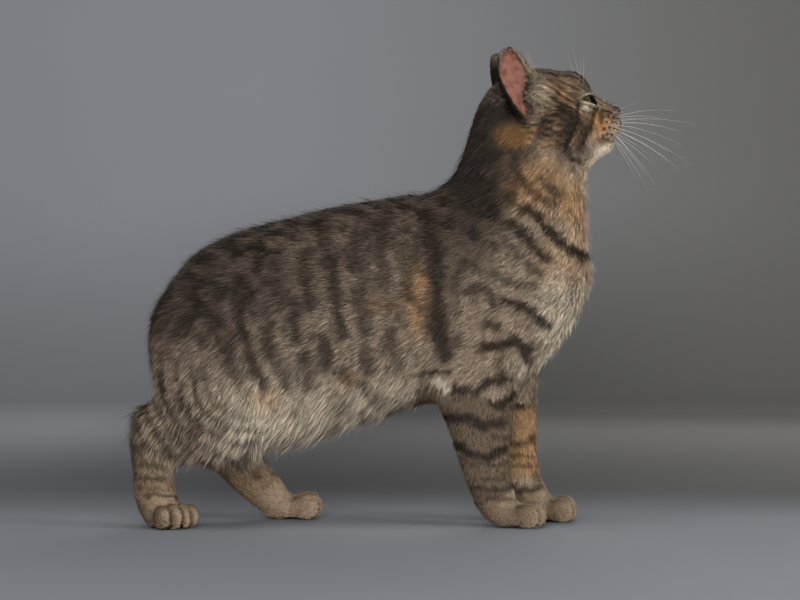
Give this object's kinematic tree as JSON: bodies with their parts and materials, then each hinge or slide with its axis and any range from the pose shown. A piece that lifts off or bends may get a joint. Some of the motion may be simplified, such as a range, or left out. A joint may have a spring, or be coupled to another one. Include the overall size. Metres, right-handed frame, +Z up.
{
  "type": "manx cat",
  "caption": "Life-size still model of a tailless short-haired tabby cat, standing on its paws with its neck raised and its head turned up.",
  "frame": {"origin": "on the floor under the middle of the whole, whiskers included", "axes": "+X forward, from rump to nose; +Y to the cat's left; +Z up"},
  "size_m": [0.4342, 0.137, 0.3715],
  "materials": {
    "fur": "short dense coat",
    "pale_fur": "short dense coat",
    "nose_leather": "damp, finely grained",
    "eye": "wet gloss"
  },
  "bodies": {
    "root": {"head": "fur", "muzzle": "pale_fur", "jaw": "pale_fur", "nose": "nose_leather", "ear_right": "fur", "ear_left": "fur", "eye_right": "eye", "eye_left": "eye", "neck": "fur", "chest": "fur", "belly": "fur", "rump": "fur", "shoulder_right": "fur", "shoulder_left": "fur", "foreleg_right": "fur", "foreleg_left": "fur", "forepaw_right": "pale_fur", "forepaw_left": "pale_fur", "thigh_right": "fur", "thigh_left": "fur", "hock_right": "fur", "hock_left": "fur", "hindpaw_right": "pale_fur", "hindpaw_left": "pale_fur"}
  },
  "joints": []
}
